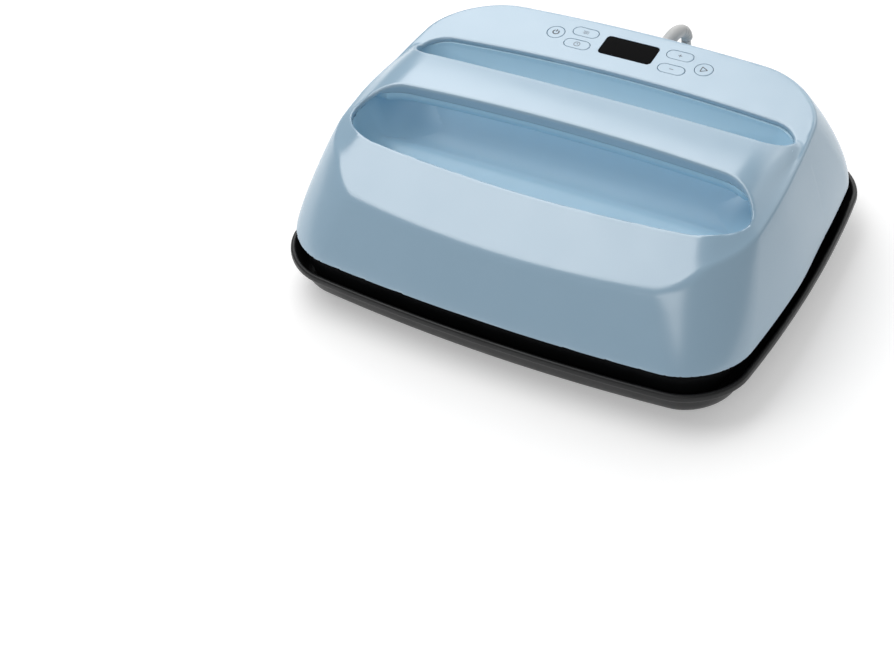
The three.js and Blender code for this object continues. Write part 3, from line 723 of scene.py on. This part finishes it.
def on_panel(points, x=0.0, y=0.0):
    """Points of the panel's own frame, moved by x and y there, in the row frame."""
    points = np.asarray(points, float) + np.array((x, y, 0.0))
    c, s = math.cos(PANEL_TILT), math.sin(PANEL_TILT)
    turned_y = points[:, 1] * c - points[:, 2] * s
    turned_z = points[:, 1] * s + points[:, 2] * c
    return np.column_stack([points[:, 0], turned_y, turned_z]) + PANEL_ORIGIN


# ---------------------------------------------------------------- mains lead

CORD_RADIUS = 3.5
CORD_STEP = 3.0
RELIEF = {
    "x": 12.0, "y": 116.5, "z": 97.9, "heading": math.radians(26), "aside": math.radians(14),
    "straight": 12.3, "bend": 13.0, "length": 36.8,
}
RELIEF_ROOT = 4.4
RELIEF_SLEEVE = {"from": 3.0, "thick": 5.2, "narrows": 0.9}
RELIEF_GROOVES = {"from": 22.0, "to": 35.0, "first": 23.8, "apart": 3.2, "depth": 0.5}
COIL = {"x": -48.0, "y": 207.0, "outer": 52.0, "inner": 27.5, "low": 3.55, "high": 10.5}
COIL_LOWER_TURNS = 3.5
COIL_RISE_TURNS = 0.75
COIL_UPPER_TURNS = 17 / 6
# The lead hangs down behind the press, then runs over the floor to its coil and on to the plug.
EXIT_TO_COIL = [
    (18.95, 144.35, 92.7), (19.15, 145.05, 87.8), (19.35, 145.8, 82.9), (19.6, 147, 74.5),
    (19.8, 148.2, 65), (19.9, 149.3, 55.5), (20, 150.2, 47.5), (19.9, 150.9, 40),
    (18.8, 151.5, 30.6), (15.2, 152.1, 21.8), (9.5, 152.8, 14.3), (2, 153.4, 8.5),
    (-6.8, 154, 4.9), (-16.2, 154.5, 3.6), (-26, 154.85, 3.55), (-37, 155, 3.55),
]
COIL_TO_PLUG = [
    (-80.3, 171, 10.5), (-89, 176, 10.5), (-97.6, 181, 10.45), (-103.4, 184.3, 10.4),
    (-113.5, 190.15, 10.2), (-123.7, 196, 10.05),
]
PLUG = {"x": -123.9, "y": 196.2, "z": 10.05, "heading": math.radians(150), "face": 40.3}
BLADE = {
    "aside": 6.35, "up": 4.0, "length": 16.0, "height": 6.35, "thick": 1.5, "tip_x": 2.2, "tip_z": 1.5,
    "hole_x": 11.6, "hole": 1.6,
}
EARTH_PIN = {"down": 5.0, "profile": [(2.2, 0.0), (2.4, 0.3), (2.4, 16.3), (2.0, 17.9), (1.1, 18.7)]}


def coil_points(per_turn=24):
    """The coil's turns: a spiral inwards on the floor, a short rise, and a spiral outwards on top."""
    points = []

    def add(angle, radius, z):
        points.append((COIL["x"] + radius * math.cos(angle), COIL["y"] + radius * math.sin(angle), z))

    outer, inner, low, high = COIL["outer"], COIL["inner"], COIL["low"], COIL["high"]
    top = inner + 2 * CORD_RADIUS * COIL_UPPER_TURNS
    angle = -math.pi / 2
    stages = (
        (COIL_LOWER_TURNS, outer, inner, low, low),
        (COIL_RISE_TURNS, inner, inner, low, high),
        (COIL_UPPER_TURNS, inner, top, high, high),
    )
    add(angle, outer, low)
    for turns, from_radius, to_radius, from_z, to_z in stages:
        steps = round(turns * per_turn)
        for step in range(1, steps + 1):
            share = step / steps
            lift = share * share * (3 - 2 * share)
            radius = from_radius + (to_radius - from_radius) * share
            add(angle - 2 * math.pi * turns * share, radius, from_z + (to_z - from_z) * lift)
        angle -= 2 * math.pi * turns
    return points


def through(points, step):
    """A smooth line through points, at about `step` apart."""
    points = np.asarray(points, float)
    ends = np.concatenate([[2 * points[0] - points[1]], points, [2 * points[-1] - points[-2]]])
    line = []
    for i in range(1, len(ends) - 2):
        a, b, c, d = ends[i - 1:i + 3]
        count = max(1, int(round(np.linalg.norm(c - b) / step)))
        for k in range(count):
            t = k / count
            line.append(0.5 * (
                2 * b + (c - a) * t + (2 * a - 5 * b + 4 * c - d) * t**2 + (3 * b - a - 3 * c + d) * t**3
            ))
    line.append(points[-1])
    return np.array(line)


def rings_along(line, radii, sides=16):
    """Round rings square to a line, each turned as little as possible from the one before."""
    directions = np.gradient(line, axis=0)
    directions /= np.linalg.norm(directions, axis=1)[:, None]
    side = np.array((1.0, 0.0, 0.0))
    c, s = np.cos(circle_angles(sides)), np.sin(circle_angles(sides))
    rings = []
    for point, direction, radius in zip(line, directions, radii):
        side = side - direction * side.dot(direction)
        side /= np.linalg.norm(side)
        up = np.cross(direction, side)
        rings.append(point + radius * (np.outer(c, side) + np.outer(s, up)))
    return rings


def along_relief(distance):
    """Point and direction on the strain relief: straight out of the wall, then bending down."""
    start, aside, bend = RELIEF["heading"], RELIEF["aside"], RELIEF["bend"]
    straight = min(distance, RELIEF["straight"])
    heading = start - (distance - straight) / bend
    out = straight * math.cos(start) + bend * (math.sin(start) - math.sin(heading))
    up = straight * math.sin(start) + bend * (math.cos(heading) - math.cos(start))
    plan = np.array((math.sin(aside), math.cos(aside), 0.0))
    point = np.array((RELIEF["x"], RELIEF["y"], RELIEF["z"] + up)) + out * plan
    return point, plan * math.cos(heading) + np.array((0.0, 0.0, math.sin(heading)))


def relief_radius(distance):
    """Radius of the tapered sleeve, with grooves near its thin end."""
    start = RELIEF_ROOT + RELIEF_SLEEVE["from"]
    share = (distance - start) / (RELIEF["length"] - start)
    radius = RELIEF_SLEEVE["thick"] - RELIEF_SLEEVE["narrows"] * share
    if RELIEF_GROOVES["from"] < distance < RELIEF_GROOVES["to"]:
        turns = (distance - RELIEF_GROOVES["first"]) / RELIEF_GROOVES["apart"]
        radius -= RELIEF_GROOVES["depth"] * (0.5 + 0.5 * math.cos(2 * math.pi * turns)) ** 4
    return radius


def make_relief():
    """The strain relief: a flange on each side of the wall, then the sleeve."""
    root, length = RELIEF_ROOT, RELIEF["length"]
    profile = [(-root - 1.8, 5.7), (-root - 1.5, 6.0), (-root, 6.0), (-root, 4.2), (root, 4.2)]
    profile += [(root, 5.9), (root + 0.3, 6.2), (root + 2.4, 6.2), (root + 3.0, 5.7), (root + 3.4, 5.25)]
    profile += [(d, relief_radius(d)) for d in np.arange(root + 4, length - 0.6, 0.4)]
    profile += [(length - 0.4, 4.25), (length - 0.1, 4.1), (length, 3.9)]
    c, s = np.cos(circle_angles(40)), np.sin(circle_angles(40))
    rings = []
    for distance, radius in profile:
        point, direction = along_relief(distance)
        side = np.cross(direction, (0.0, 0.0, 1.0))
        side /= np.linalg.norm(side)
        up = np.cross(side, direction)
        rings.append(point - radius * (np.outer(c, side) - np.outer(s, up)))
    return lofted_object("cord_relief", rings, "cord_grey", "press", ["strain_relief"], 50)


def plug_section(x, half_width, half_height, roundness=2.6, count=48):
    """A soft-cornered section of the plug, across its own X axis."""
    c, s = np.cos(circle_angles(count)), np.sin(circle_angles(count))
    scale = (np.abs(c) ** roundness + np.abs(s) ** roundness) ** (-1 / roundness)
    return np.column_stack([np.full(count, x), half_width * c * scale, half_height * s * scale])


def at_plug(points):
    """Points of the plug's own frame, whose X runs out along the blades, in the row frame."""
    points = np.asarray(points, float)
    c, s = math.cos(PLUG["heading"]), math.sin(PLUG["heading"])
    return np.column_stack([
        PLUG["x"] + points[:, 0] * c - points[:, 1] * s,
        PLUG["y"] + points[:, 0] * s + points[:, 1] * c,
        PLUG["z"] + points[:, 2],
    ])


def make_plug():
    """The plug's moulding, from a ribbed sleeve to its flat face, and its three contacts."""
    stations = [(0.3, 4.2, 4.2), (0.6, 4.4, 4.4), (3.0, 4.6, 4.6)]
    for rib in range(3):
        start, low, high = 3.6 + 2.9 * rib, 4.5 + 0.55 * rib, 5.3 + 0.6 * rib
        stations += [(start, low, low), (start + 0.4, high, high)]
        stations += [(start + 1.7, high + 0.2, high + 0.1), (start + 2.1, low + 0.2, low + 0.1)]
    stations += [
        (13.0, 7.4, 6.7), (15.0, 9.6, 7.9), (17.0, 11.2, 8.8), (19.5, 12.5, 9.6), (22.5, 13.0, 10.0),
        (30.0, 12.4, 9.7), (36.5, 12.9, 9.95), (38.2, 12.9, 9.9), (39.4, 12.5, 9.4), (40.0, 11.6, 8.6),
    ]
    rings = [at_plug(plug_section(*station)) for station in stations]
    pieces = [lofted_object("plug_moulding", rings, "cord_grey", "safety_base", ["plug_body"], 60)]
    for side, name in ((-1, "plug_blade_right"), (1, "plug_blade_left")):
        pieces.append(make_blade(name, side * BLADE["aside"]))
    rings = []
    for radius, x in EARTH_PIN["profile"]:
        section = plug_section(PLUG["face"] + x, radius, radius, 2.0, 32)
        rings.append(at_plug(section - (0.0, 0.0, EARTH_PIN["down"])))
    pieces.append(lofted_object(
        "plug_earth_contact", rings, "plug_brass", "safety_base", ["plug_earth_pin"], 50))
    return pieces


def make_blade(node, y):
    """A flat contact with softened edges, a tapered tip and a round hole near its end."""
    mesh = bmesh.new()
    length, half, thick = BLADE["length"], BLADE["height"] / 2, BLADE["thick"]
    shoulder, tip = length - BLADE["tip_x"], half - BLADE["tip_z"]
    side = [(0, -half), (shoulder, -half), (length, -tip), (length, tip), (shoulder, half), (0, half)]
    radius = BLADE["hole"]
    hole = [(BLADE["hole_x"] + radius * math.cos(a), radius * math.sin(a)) for a in circle_angles(20)]
    edges = []
    for loop_points in (side, hole):
        verts = [
            mesh.verts.new((PLUG["face"] + px, y - thick / 2, BLADE["up"] + pz)) for px, pz in loop_points
        ]
        edges += [mesh.edges.new(pair) for pair in zip(verts, verts[1:] + verts[:1])]
    bmesh.ops.triangle_fill(mesh, use_beauty=True, edges=edges)
    made = bmesh.ops.extrude_face_region(mesh, geom=list(mesh.faces))
    moved = [item for item in made["geom"] if isinstance(item, bmesh.types.BMVert)]
    bmesh.ops.translate(mesh, verts=moved, vec=(0, thick, 0))
    bmesh.ops.recalc_face_normals(mesh, faces=mesh.faces)
    points = at_plug([tuple(v.co) for v in mesh.verts])
    mesh.verts.index_update()
    faces = [tuple(v.index for v in face.verts) for face in mesh.faces]
    mesh.free()
    return mesh_object(node + "_contact", points, faces, "plug_brass", "safety_base", [node], 30)


def make_cord():
    """The lead in one piece, which rides on no body, and its strain relief and plug."""
    line = through(EXIT_TO_COIL + coil_points() + COIL_TO_PLUG, CORD_STEP)
    rings = rings_along(line, [CORD_RADIUS] * len(line))
    stands_for = ["cord", "cord_coil", "cord_tail"]
    cord = lofted_object("mains_lead", rings, "cord_grey", None, stands_for, 60)
    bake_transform(cord)
    relief = make_relief()
    plug_pieces = make_plug()


make_cord()

# ---------------------------------------------------------------- shell

CUT_DEPTH = 9.0
RELIEF_HOLE = {"at": 1.0, "reach": 11, "radius": 5.0}
SHELL_SPACE = ((-172, -138, 39.7), (172, 138, 121))
TUB_SPACE = ((-150, -84, 56), (150, 70, 118))
LINER_SPACE = ((-146, -32, 98), (146, 34, 112))


def panel_cutters():
    """Prisms square to the panel for the key and display openings, and a bar for the relief's hole."""
    shapes = []
    for x, y, size in [*KEYS.values(), (0.0, 0.0, DISPLAY)]:
        ends = [inset_ring(size, -KEY_GAP, z, sides=2, steps=10) for z in (-CUT_DEPTH, CUT_DEPTH)]
        shapes.append(loft([on_panel(ring, x, y) for ring in ends]))
    centre, along = along_relief(RELIEF_HOLE["at"])
    reach = RELIEF_HOLE["reach"] * along
    bar = rings_along(np.array([centre - reach, centre + reach]), [RELIEF_HOLE["radius"]] * 2, 32)
    shapes.append(loft(bar))
    return shapes


def joined(shapes):
    points, faces, first = [], [], 0
    for shape_points, shape_faces in shapes:
        points.append(shape_points)
        faces += [tuple(i + first for i in face) for face in shape_faces]
        first += len(shape_points)
    return np.concatenate(points), faces


def cut_by(obj, shapes):
    """Cuts closed shapes out of a piece."""
    points, faces = joined(shapes)
    mesh = bpy.data.meshes.new("cutter")
    mesh.from_pydata((points * MM).tolist(), [], faces)
    cutter = bpy.data.objects.new("cutter", mesh)
    bpy.context.scene.collection.objects.link(cutter)
    modifier = obj.modifiers.new("openings", "BOOLEAN")
    modifier.operation = "DIFFERENCE"
    modifier.solver = "EXACT"
    modifier.object = cutter
    depsgraph = bpy.context.evaluated_depsgraph_get()
    result = bpy.data.meshes.new_from_object(obj.evaluated_get(depsgraph))
    obj.modifiers.clear()
    old = obj.data
    obj.data = result
    bpy.data.meshes.remove(old)
    bpy.data.objects.remove(cutter)
    bpy.data.meshes.remove(mesh)


def make_shell():
    points, faces = surface(top_housing, *SHELL_SPACE, FINE)
    shell = mesh_object("top_housing_skin", points, faces, "blue_shell", "press", ["top_housing"])
    cut_by(shell, panel_cutters())
    smooth_by_angle(shell.data, 40)
    true_normals(shell, top_housing)
    # The recess and the grip liner get the lighter inner blue: partly their own tone, partly painted light
    # in the shaded recess.
    inner_pieces = (
        ("recess_scoop", recess_tub, TUB_SPACE, FINE, "recess_tub"),
        ("handle_grip_liner", handle_liner, LINER_SPACE, FINE * 0.8, "handle_liner"),
    )
    for name, function, space, step, node in inner_pieces:
        points, faces = surface(function, *space, step)
        piece = mesh_object(name, points, faces, "lit_inner_blue", "press", [node], 50)
        true_normals(piece, function)


make_shell()

# ---------------------------------------------------------------- shroud and heat plate

# half width, half depth, height and rounding
SHROUD_PROFILE = [
    (156.2, 130.4, 15, 0.4), (158.4, 131, 19, 3), (163, 132.4, 28, 4), (166, 133.4, 36, 3),
    (168.3, 134.5, 38.6, 1.5), (168.5, 134.7, 41.2, 0.3), (152, 118, 41.2, 0.3), (152, 118, 39.2, 0.3),
    (162.6, 129.6, 39, 1), (161, 130.2, 28, 3), (156.3, 128.9, 19, 3), (154.2, 128.6, 15, 0.4),
]
SHROUD_GROWTH = {"z": 15, "span": 26, "corner": (27, 8), "bulge": (6, 3.5)}


def make_shroud():
    """The wall between base and shell. Its outline changes from the plate's to the shell's."""
    widths = rounded([(w, z, r) for w, _, z, r in SHROUD_PROFILE], closed=True)
    depths = rounded([(d, z, r) for _, d, z, r in SHROUD_PROFILE], closed=True)
    rings = []
    for (half_width, z), (half_depth, _) in zip(widths, depths):
        share = (z - SHROUD_GROWTH["z"]) / SHROUD_GROWTH["span"]
        size = {"half_width": half_width, "half_depth": half_depth}
        size |= {key: SHROUD_GROWTH[key][0] + SHROUD_GROWTH[key][1] * share for key in ("corner", "bulge")}
        rings.append(inset_ring(size, 0.0, z))
    lofted_object("shroud_skirt", rings, "black_plastic", "press", ["lower_shroud"], 45, loop=True)


def make_heat_plate():
    profile = [(30, 12.0, 0), (1.4, 12.0, 1.6), (0, 13.6, 1.6), (0, 21.0, 0.5), (30, 21.0, 0)]
    rings = [inset_ring(PLATE, inset, z) for inset, z in rounded(profile)]
    lofted_object("heat_plate_casting", rings, "coated_plate", "press", ["heat_plate"], 45)


make_shroud()
make_heat_plate()

# ---------------------------------------------------------------- safety base

# inset, height and rounding
TRAY_PROFILE = [
    (30, 3.3, 0), (18, 3.3, 4), (13, 5.0, 4), (8.5, 11, 5), (6, 19, 5), (5, 24.6, 0.8),
    (0.7, 25.0, 1.0), (0, 26.5, 1.2), (0.4, 29.6, 1.2), (1.6, 30.4, 1.0), (3.4, 30.0, 1.2),
    (5, 26, 3), (7.4, 20, 4), (9.6, 13, 3), (13, 9.2, 3), (17, 8.0, 2), (30, 8.0, 0),
]
SHEET = {"half_width": 118.0, "half_depth": 92.0, "corner": 14.0}
# radius, height and rounding
PAD_PROFILE = [
    (2, 8.3, 0), (9, 8.3, 0.3), (9, 11.2, 0.7), (8.3, 11.7, 0.5), (6.4, 11.7, 0.3), (6.0, 11.3, 0.3),
    (4.4, 11.3, 0.3), (4.0, 11.7, 0.3), (1, 11.7, 0),
]
FOOT_PROFILE = [
    (1, 0.4, 0), (5.4, 0.4, 0.3), (6.2, 0, 0.4), (8.9, 0, 0.4), (10, 0.9, 0.8), (10, 3, 0.3), (1, 3, 0),
]
PAD_PLACE = (128, 99)
FOOT_PLACE = (125, 95)


def make_tray():
    rings = [inset_ring(BASE, inset, z) for inset, z in rounded(TRAY_PROFILE)]
    lofted_object("safety_tray", rings, "black_plastic", "safety_base", ["base_tray"], 50)
    profile = [(20, 8.3, 0), (0, 8.3, 0.2), (0, 9.2, 0.4), (0.5, 9.5, 0.4), (3.0, 9.5, 0.5)]
    profile += [(4.0, 9.1, 0.5), (6.0, 9.1, 0.5), (7.0, 9.5, 0.5), (20, 9.5, 0)]
    rings = [inset_ring(SHEET, inset, z) for inset, z in rounded(profile)]
    lofted_object("tray_sheet", rings, "sheet_aluminium", "safety_base", ["base_insulation_sheet"], 40)


def make_pads_and_feet():
    kinds = (("pad", PAD_PROFILE, PAD_PLACE), ("foot", FOOT_PROFILE, FOOT_PLACE))
    for end, side_y in (("front", -1), ("rear", 1)):
        for side, side_x in (("left", -1), ("right", 1)):
            for kind, profile, (x, y) in kinds:
                name = f"{kind}_{end}_{side}"
                rings = turned(rounded(profile), side_x * x, side_y * y)
                lofted_object(name, rings, "silicone", "safety_base", [f"base_{name}"])


make_tray()
make_pads_and_feet()

# ---------------------------------------------------------------- keys, icons and display

INK_LOW = 0.06
INK_HIGH = 0.14


def ribbon(points, width, closed=False):
    """A flat printed stroke with a little body, in the panel's frame."""
    line = np.asarray(points, float)
    if closed:
        ahead, behind = np.roll(line, -1, 0), np.roll(line, 1, 0)
        along = ahead - behind
    else:
        along = np.gradient(line, axis=0)
    along /= np.linalg.norm(along, axis=1)[:, None]
    across = np.column_stack([-along[:, 1], along[:, 0]]) * width / 2
    rings = []
    for point, out in zip(line, across):
        low_left, low_right = point + out, point - out
        rings.append(np.array([
            (*low_left, INK_LOW), (*low_right, INK_LOW), (*low_right, INK_HIGH), (*low_left, INK_HIGH),
        ]))
    return loft(rings, loop=closed)


def arc(radius, start, end, count=28):
    angles = np.radians(np.linspace(start, end, count))
    return radius * np.column_stack([np.cos(angles), np.sin(angles)])


def circle(radius, count=40):
    return arc(radius, 0, 360, count + 1)[:-1]


def wave(y, half_length=2.1, height=0.28, waves=1.5, count=17):
    share = np.linspace(-1, 1, count)
    return np.column_stack([half_length * share, y + height * np.sin(math.pi * waves * share)])


def triangle(radius, back=0.35, soft=0.35):
    """A triangle that points along +X, with its corners eased, moved back to look centred."""
    corners = [(x - back, y, soft) for x, y in circle(radius, 3)]
    return np.array(rounded(corners, closed=True))


LEVEL_BAR = [(-1.5, 0), (0, 0), (1.5, 0)]
UPRIGHT_BAR = [(0, -1.5), (0, 0), (0, 1.5)]
ICONS = {
    "power": [ribbon(arc(2.2, 125, 415), 0.85), ribbon([(0, 0.5), (0, 1.7), (0, 2.9)], 0.85)],
    "start": [ribbon(triangle(3.0), 0.62, closed=True)],
    "temperature": [ribbon(wave(y), 0.30) for y in (-1.15, 0.0, 1.15)],
    "timer": [
        ribbon(circle(2.2), 0.42, closed=True),
        ribbon([(0, 1.3), (0, 0.65), (0, 0)], 0.36),
        ribbon([(0, 0), (0.45, 0), (0.9, 0)], 0.36),
    ],
    "plus": [ribbon(LEVEL_BAR, 0.5), ribbon(UPRIGHT_BAR, 0.5)],
    "minus": [ribbon(LEVEL_BAR, 0.5)],
}
# inset, height and rounding
KEY_PROFILE = [
    (2.5, -4.2, 0), (-1.2, -4.2, 0.2), (-1.2, -3.4, 0.2), (0, -3.4, 0.2), (0, -0.25, 0.0),
    (0.10, -0.02, 0.0), (0.32, 0.09, 0.0), (0.7, 0.1, 0.0), (3.4, 0.1, 0),
]
DISPLAY_PROFILE = [
    (6, -2.5, 0), (0, -2.5, 0.1), (0, -0.12, 0.0), (0.16, 0.03, 0.0), (0.5, 0.05, 0), (6, 0.05, 0),
]


def make_key(name, x, y, size):
    rings = [
        on_panel(inset_ring(size, inset, z, 1.0, sides=3, steps=10), x, y)
        for inset, z in rounded(KEY_PROFILE, 3)
    ]
    body_name = f"{name}_button"
    lofted_object(f"{name}_key", rings, "blue_shell", body_name, [body_name], 50)
    points, faces = joined(ICONS[name])
    mark = mesh_object(f"{name}_icon", on_panel(points, x, y), faces, "key_ink", body_name, (), 30)


def make_display():
    rings = [
        on_panel(inset_ring(DISPLAY, inset, z, 0.6, sides=4, steps=8))
        for inset, z in rounded(DISPLAY_PROFILE, 3)
    ]
    lofted_object("display_window", rings, "display_glass", "press", ["display_lens"], 30)


for key_name, (key_x, key_y, key_size) in KEYS.items():
    make_key(key_name, key_x, key_y, key_size)
make_display()

# ---------------------------------------------------------------- stage

# name, place, size in metres and power in watts
LIGHTS = [
    ("overhead_strip", (-0.75, 0.25, 1.6), (1.1, 2.7), 27.0),
    ("backdrop", (-0.2, 1.9, 0.85), (2.4, 1.2), 12.0),
    ("front_fill", (0.5, -1.9, 1.35), (1.2, 0.8), 5.0),
    ("back_right", (1.3, 1.6, 1.2), (1.2, 1.0), 3.0),
]
LIGHT_TARGET = Vector((0.0, 0.0, 0.06))
WORLD_STRENGTH = 0.35
FLOOR_GLOW = 0.3
FLOOR_REACH = 6.0


def make_stage():
    mesh = bpy.data.meshes.new("floor")
    corners = [(x * FLOOR_REACH, y * FLOOR_REACH, 0) for x, y in ((-1, -1), (1, -1), (1, 1), (-1, 1))]
    mesh.from_pydata(corners, [], [(0, 1, 2, 3)])
    floor = bpy.data.objects.new("floor", mesh)
    bpy.context.scene.collection.objects.link(floor)
    n = Nodes("floor_paper")
    n.color(n.noise(3.0, 3.0), [(0.3, (0.80, 0.80, 0.80)), (0.7, (0.83, 0.83, 0.83))])
    n.set(Roughness=0.9, Emission_Color=(1, 1, 1, 1), Emission_Strength=FLOOR_GLOW)
    mesh.materials.append(n.material)


def area_light(name, place, size, power):
    """A soft box that faces the object, with its second side along Y as nearly as it can."""
    data = bpy.data.lights.new(name, "AREA")
    data.shape = "RECTANGLE"
    data.size, data.size_y = size
    data.energy = power
    light = bpy.data.objects.new(name, data)
    back = (Vector(place) - LIGHT_TARGET).normalized()
    side = Vector((0, 1, 0)).cross(back).normalized()
    set_axes(light, side, back.cross(side), back, place)
    bpy.context.scene.collection.objects.link(light)


def make_lights():
    for name, place, size, power in LIGHTS:
        area_light(name, place, size, power)
    world = bpy.data.worlds.new("studio")
    world.use_nodes = True
    world.node_tree.nodes["Background"].inputs["Color"].default_value = (1, 1, 1, 1)
    world.node_tree.nodes["Background"].inputs["Strength"].default_value = WORLD_STRENGTH
    bpy.context.scene.world = world
    bpy.context.scene.view_settings.view_transform = "Standard"


make_stage()
make_lights()
